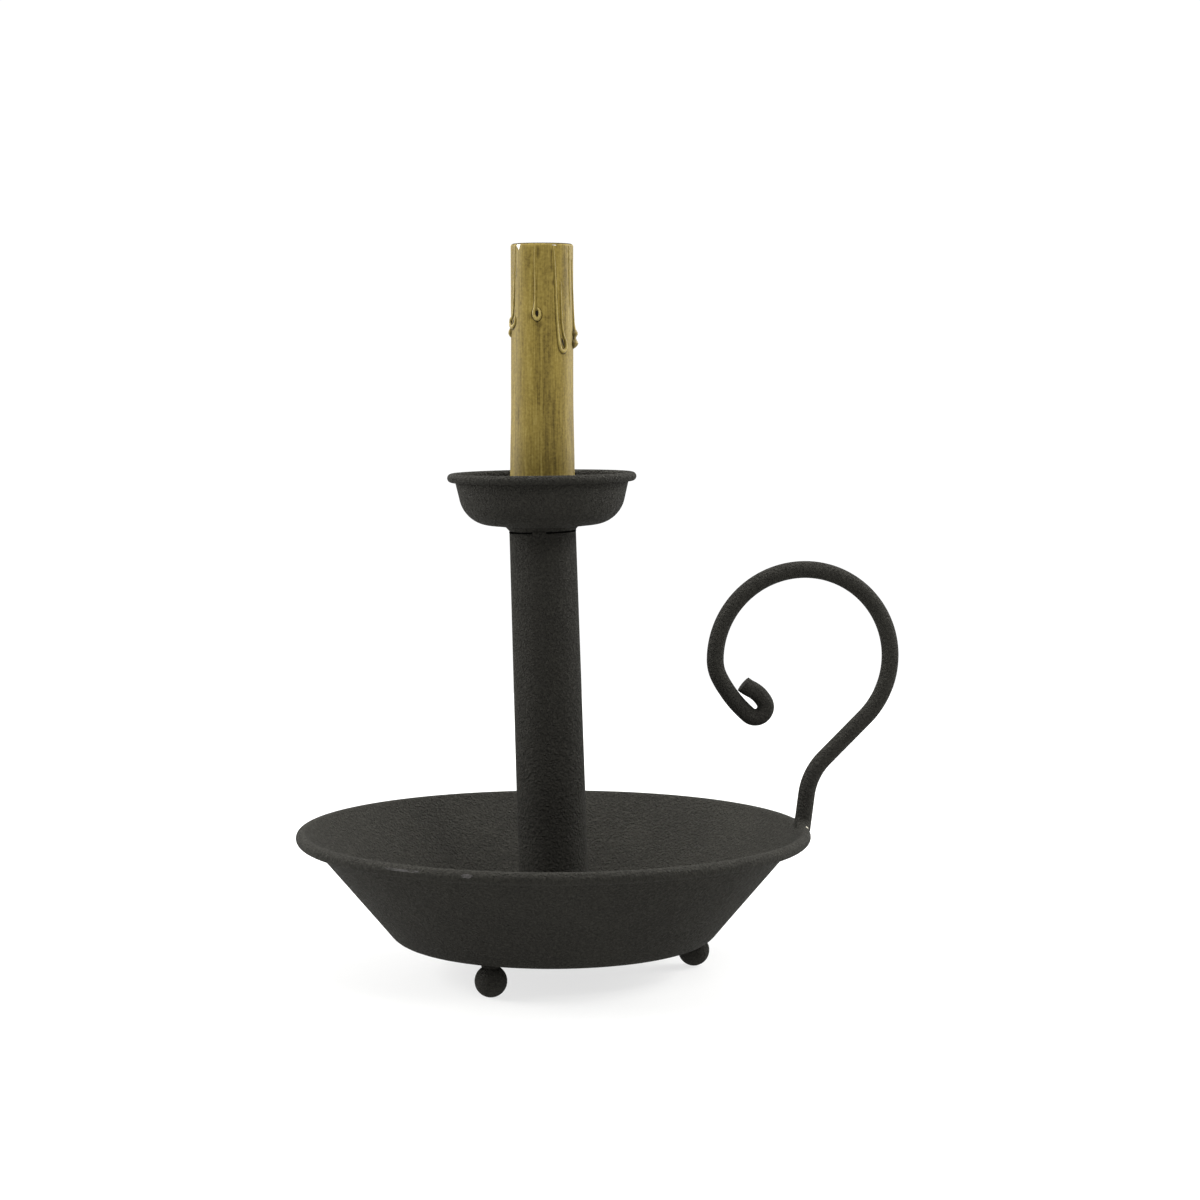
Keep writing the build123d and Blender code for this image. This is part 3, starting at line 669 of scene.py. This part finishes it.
def weld_point(turn, down, proud=0.0):
    """Point on the bead between the loop's foot and the rim, from its top at 0 down to its toe at 1."""
    rise = math.radians(loop_rise)
    axis = Vector((math.cos(rise), 0, math.sin(rise)))
    outside = Vector((math.sin(rise), 0, -math.cos(rise)))
    way = outside * math.cos(turn) + Vector((0, 1, 0)) * math.sin(turn)
    foot = Vector((rim_radius + loop_set_out, 0, rim_level))
    climb = weld_climb + weld_ragged * noise.noise(way * weld_ragged_waves)
    high = foot + axis * climb + way * (rod_radius - weld_sunk)
    crook = foot + axis * (rim_roll / 2 + weld_crook) + way * (rod_radius + 2 * weld_sunk)
    toe = foot + axis * (rim_roll / 2 + weld_toe) + way * (rod_radius + weld_spread)
    low = on_rim(toe, -weld_sunk)
    wave = noise.noise(way * weld_ripple_waves + axis * down * weld_ripple_run)
    ripple = weld_ripple * math.sin(math.pi * down) * wave
    out = way.cross(axis).cross(low - high).normalized()
    spot = high * (1 - down) ** 2 + crook * 2 * down * (1 - down) + low * down ** 2
    return spot + out * (ripple + proud)


def loop_weld():
    """Weld bead between the finger loop and the rim, with a pale spot on it."""
    sides, steps, edge = 64, 10, 20
    points = [weld_point(turn, step / steps) for step in range(steps + 1) for turn in around(sides)]
    piece("loop_weld", points, grid_faces(steps + 1, sides), "stand", "black_powder_coat", coat)
    bearing, down, half_turn, half_down = pale_spot
    middle_proud, edge_proud = pale_spot_proud
    points = [weld_point(math.radians(bearing), down, middle_proud)]
    for swing in around(edge):
        wave = noise.noise(Vector((math.cos(swing), math.sin(swing), 0)) * pale_spot_waves)
        full = 1 + pale_spot_ragged * wave
        turn = math.radians(bearing + half_turn * full * math.cos(swing))
        points.append(weld_point(turn, down + half_down * full * math.sin(swing), edge_proud))
    piece("pale_spot", points, fan_faces(edge), "stand", "black_powder_coat", pale_spot_finish)


def rim_scuffs():
    """Places on the pan's rim where the coat is rubbed lighter."""
    edge = 28
    roll = rim_roll / 2 + scuff_proud
    for number, (bearing, up, half_length, half_width) in enumerate(rim_scuff_places, 1):
        points = []
        for step in range(edge + 1):
            swing = 2 * math.pi * step / edge
            aside, ahead = scuff_waves * math.cos(swing), scuff_waves * math.sin(swing)
            ragged = 1 + scuff_ragged * noise.noise(Vector((aside, ahead, number)))
            full = (step > 0) * ragged               # the first point is the middle
            turn = math.radians(bearing) + half_length / rim_radius * full * math.cos(swing)
            tilt = math.radians(up) + half_width / (rim_roll / 2) * full * math.sin(swing)
            reach = rim_radius + roll * math.cos(tilt)
            points.append(Vector((reach * math.cos(turn), reach * math.sin(turn),
                                  rim_level + roll * math.sin(tilt))))
        piece(f"rim_scuff_{number}", points, fan_faces(edge), "stand", "black_powder_coat", rubbed_coat)


def stem_weld_bead():
    """Rippled fillet weld round the tube's foot."""
    columns, steps = 288, 8
    points = []
    for step in range(steps + 1):
        share = step / steps
        curl = stem_ripple_curl * math.cos(math.pi * share)
        for turn in around(columns):
            wave = math.sin(stem_ripples * turn + curl)
            full = math.sin(math.pi * share) * (stem_weld_crown + stem_ripple * wave)
            reach = stem_foot_radius + stem_weld * (1 - share) + stem_weld_slope * full + stem_weld_out
            points.append(Vector((stem_set_over + reach * math.cos(turn), reach * math.sin(turn),
                                  pan_floor + stem_weld * share + stem_weld_slope * full)))
    piece("stem_weld_bead", points, grid_faces(steps + 1, columns), "stand", "black_powder_coat", coat)


def ring_bead(name, middle, radius, bead, lean, finish):
    """Uneven ring of bead about an axis that is upright or leans to the left."""
    columns, sides = 60, 12
    line, radii = [], []
    for column in range(columns + 1):
        turn = 2 * math.pi * column / columns
        way = Vector((math.cos(turn) * math.cos(lean), math.sin(turn), math.cos(turn) * math.sin(lean)))
        line.append(middle + way * radius)
        radii.append(bead * (1 + bead_uneven * noise.noise(way * bead_waves + middle)))
    points = tube_points(line, radii, sides, lambda spot: spot - middle)
    piece(name, points, tube_faces(columns + 1, sides), "stand", "black_powder_coat", finish)


def neck_seam_shade():
    """Painted shade in the open seam between the tube's top and the plug, drawn as a thin dark ring."""
    lean = math.radians(stem_lean)
    top = stem_high.z - stem_top_radius * math.sin(lean)
    middle = Vector((stem_set_over - (top - pan_floor) * math.tan(lean), 0, top))
    ring_bead("neck_seam_shade", middle, stem_top_radius - seam_bead + seam_proud, seam_bead, lean, seam_painted_shade)


def foot_welds():
    """Weld bead between each ball foot and the pan."""
    for number in (1, 2, 3):
        low, high = corners(f"ball_foot_{number}")
        middle = (low + high) / 2
        middle.z = high.z - foot_weld_bead / 2
        ring_bead(f"foot_weld_{number}", middle, foot_weld_radius, foot_weld_bead, 0.0, coat)


def thread_ridge(name, foot, axis, radius, pitch, ridge, length, slot, finish):
    """Helical ridge of a rolled thread about an axis, run out at both ends."""
    per_turn, sides, run_out = 48, 8, 12
    aside = axis.cross(Vector((0, 1, 0))).normalized()
    across = axis.cross(aside)
    count = round(length / pitch * per_turn)
    line, radii = [], []
    for step in range(count + 1):
        turn = 2 * math.pi * step / per_turn
        way = aside * math.cos(turn) + across * math.sin(turn)
        line.append(foot + axis * (pitch * step / per_turn) + way * radius)
        radii.append(ridge * min(1, (step + 1) / run_out, (count - step + 1) / run_out))
    points = tube_points(line, radii, sides, lambda spot: (spot - foot) - axis * (spot - foot).dot(axis))
    piece(name, points, tube_faces(count + 1, sides), "stand", slot, finish)


def socket_threads():
    """Rolled threads in the screw shell and on the end of the nipple."""
    foot = Vector((candle_x, 0, shell_high.z - shell_thread_length - thread_inset))
    thread_ridge("shell_thread", foot, Vector((0, 0, 1)), shell_bore_radius, *shell_thread,
                 shell_thread_length, "brass", brass)
    lean = math.radians(cup_lean)
    axis = Vector((-math.sin(lean), 0, math.cos(lean)))
    top = Vector((nipple_low.x + nipple_radius * math.cos(lean), 0,
                  nipple_high.z - nipple_radius * math.sin(lean)))
    foot = top - axis * (nipple_thread_length + thread_inset)
    thread_ridge("nipple_thread", foot, axis, nipple_radius, *nipple_thread,
                 nipple_thread_length, "plated_steel", zinc)


def terminal_screws():
    """Slotted cheese heads: two half discs either side of the slot, over the disc at its bottom."""
    width, depth = screw_slot
    arc = 18
    middle_z = (screws_low.z + screws_high.z) / 2
    edge = math.asin(width / 2 / screw_head_radius)
    half_turns = [edge + (math.pi - 2 * edge) * step / arc for step in range(arc + 1)]
    half, whole = (
        [(screw_head_radius * math.cos(turn), screw_head_radius * math.sin(turn)) for turn in turns]
        for turns in (half_turns, around(arc)))
    points, faces = [], []
    for way, top in ((-1, screws_low.y), (1, screws_high.y)):
        under = top - way * screw_head_thickness
        rounded = [(under, 1.0), (top - way * screw_head_round, 1.0),
                   (top, 1 - screw_head_round / screw_head_radius)]
        flat = [(under, 1.0), (top - way * depth, 1.0)]
        blocks = [(half, 1, rounded), (half, -1, rounded), (whole, 1, flat)]
        for outline, flip, levels in blocks:
            start = len(points)
            for level, share in levels:
                points.extend(Vector((candle_x + flip * x * share, level, middle_z + flip * y * share))
                              for x, y in outline)
            faces.extend(tuple(start + v for v in face) for face in tube_faces(len(levels), len(outline)))
    made = piece("slotted_screws", points, faces, "stand", "brass", brass)
    made.data.polygons.foreach_set("use_smooth", [False] * len(made.data.polygons))
    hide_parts("terminal_screws")


def studio_room():
    """White room that glows more behind the object than before it."""
    world = bpy.data.worlds.new("studio")
    bpy.context.scene.world = world
    world.use_nodes = True
    tree = world.node_tree
    tree.nodes.clear()
    way = add(tree, "SeparateXYZ", {0: add(tree, "TexCoord").outputs["Generated"]})
    glow = add(tree, "MapRange", {
        "Value": way.outputs["Y"], "From Min": -glow_blend, "From Max": glow_blend,
        "To Min": glow_before, "To Max": glow_behind}, interpolation_type="SMOOTHSTEP")
    white = add(tree, "Background", {"Color": (1, 1, 1, 1), "Strength": glow.outputs["Result"]})
    tree.links.new(white.outputs[0], add(tree, "OutputWorld").inputs["Surface"])
    bpy.context.scene.view_settings.view_transform = "Standard"


def studio_table():
    """Table top of white acrylic, lit from below: an even, pale floor with a thin shadow."""
    mesh = bpy.data.meshes.new("table_top")
    reach = table_reach
    mesh.from_pydata([(-reach, -reach, 0), (reach, -reach, 0), (reach, reach, 0), (-reach, reach, 0)],
                     [], [(0, 1, 2, 3)])
    top = bpy.data.objects.new("table_top", mesh)
    bpy.context.scene.collection.objects.link(top)
    made, tree, out = new_material("lit_white_acrylic")
    shader = add(tree, "BsdfPrincipled", {
        "Base Color": srgb("#8c8c8a"), "Roughness": 0.7, "Emission Color": (1, 1, 1, 1),
        "Emission Strength": table_glow})
    tree.links.new(shader.outputs[0], out.inputs["Surface"])
    mesh.materials.append(made)


def studio_lights():
    """Softboxes overhead, at the right front and at both sides behind."""
    for name, spot, size, power in softboxes:
        lamp = bpy.data.lights.new(name, "AREA")
        lamp.energy, lamp.size = power, size
        softbox = bpy.data.objects.new(name, lamp)
        softbox.location = spot
        softbox.rotation_mode = "QUATERNION"
        softbox.rotation_quaternion = (Vector(light_aim) - Vector(spot)).to_track_quat("-Z", "Y")
        bpy.context.scene.collection.objects.link(softbox)


def camera():
    """Camera at the photograph's angle."""
    lens = bpy.data.cameras.new("camera")
    lens.lens, lens.sensor_width = camera_lens, sensor_width
    lens.clip_start, lens.clip_end = camera_reach
    made = bpy.data.objects.new("camera", lens)
    turn, dip = math.radians(camera_turn), math.radians(camera_dip)
    look = Vector((math.sin(turn) * math.cos(dip), math.cos(turn) * math.cos(dip), -math.sin(dip)))
    made.location = Vector(camera_place) * MM
    made.rotation_mode = "QUATERNION"
    made.rotation_quaternion = look.to_track_quat("-Z", "Y")
    bpy.context.scene.collection.objects.link(made)
    bpy.context.scene.camera = made


paint_nodes()
candle()
loop_weld()
rim_scuffs()
stem_weld_bead()
neck_seam_shade()
foot_welds()
socket_threads()
terminal_screws()
studio_room()
studio_table()
studio_lights()
camera()
